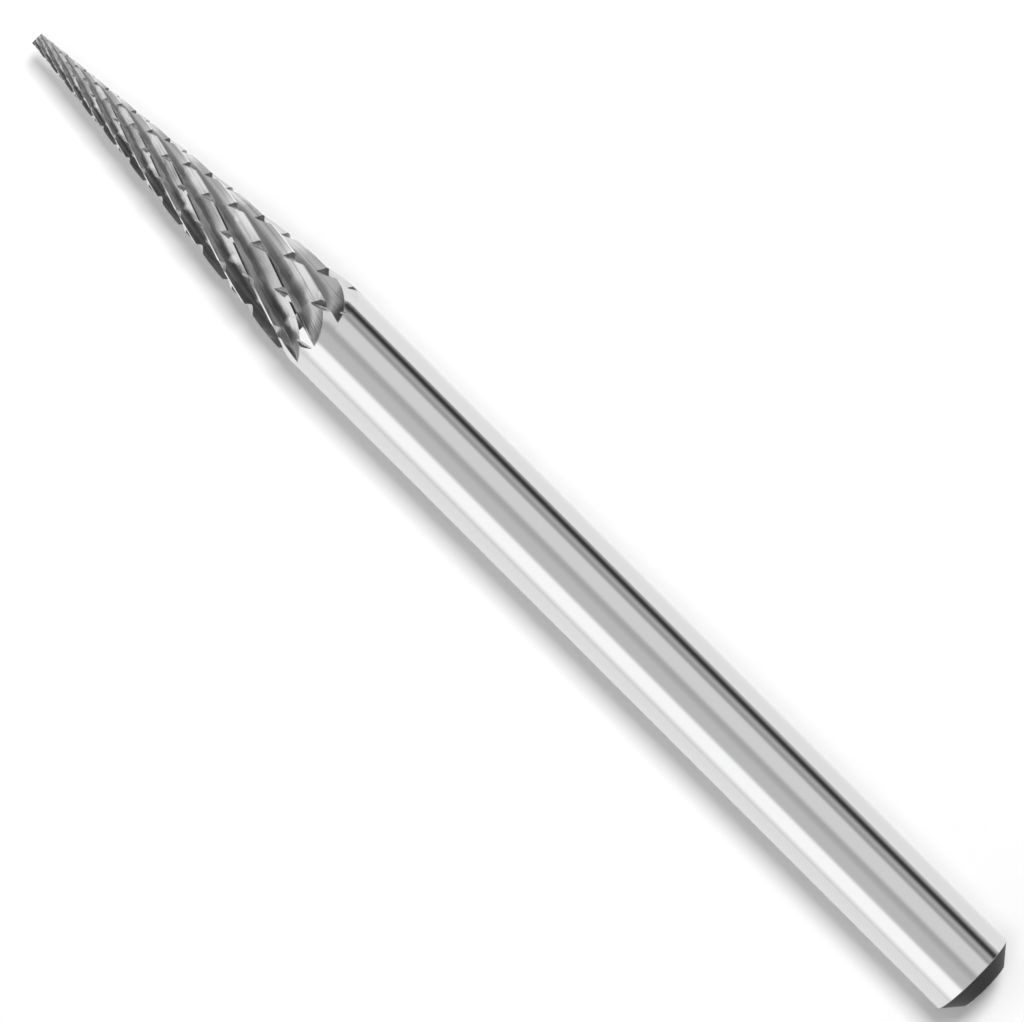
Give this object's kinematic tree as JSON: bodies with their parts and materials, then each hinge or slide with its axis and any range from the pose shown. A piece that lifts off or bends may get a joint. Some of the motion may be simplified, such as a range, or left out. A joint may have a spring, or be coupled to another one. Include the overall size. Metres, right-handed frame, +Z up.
{
  "type": "carbide burr",
  "caption": "Slim solid carbide rotary burr: a double-cut cone tapering to a small flat tip on a plain round shank with a chamfered end.",
  "frame": {"origin": "centre of the shank's flat end face, on the burr's axis", "axes": "+X along the axis from the shank's end face towards the tip, +Z up and +Y sideways with the burr lying down"},
  "size_m": [0.0437, 0.0032, 0.0032],
  "materials": {
    "carbide": "ground, bright shank and finely ground flutes, with the chamfered end left dark"
  },
  "bodies": {
    "root": {"burr": "carbide"}
  },
  "joints": []
}
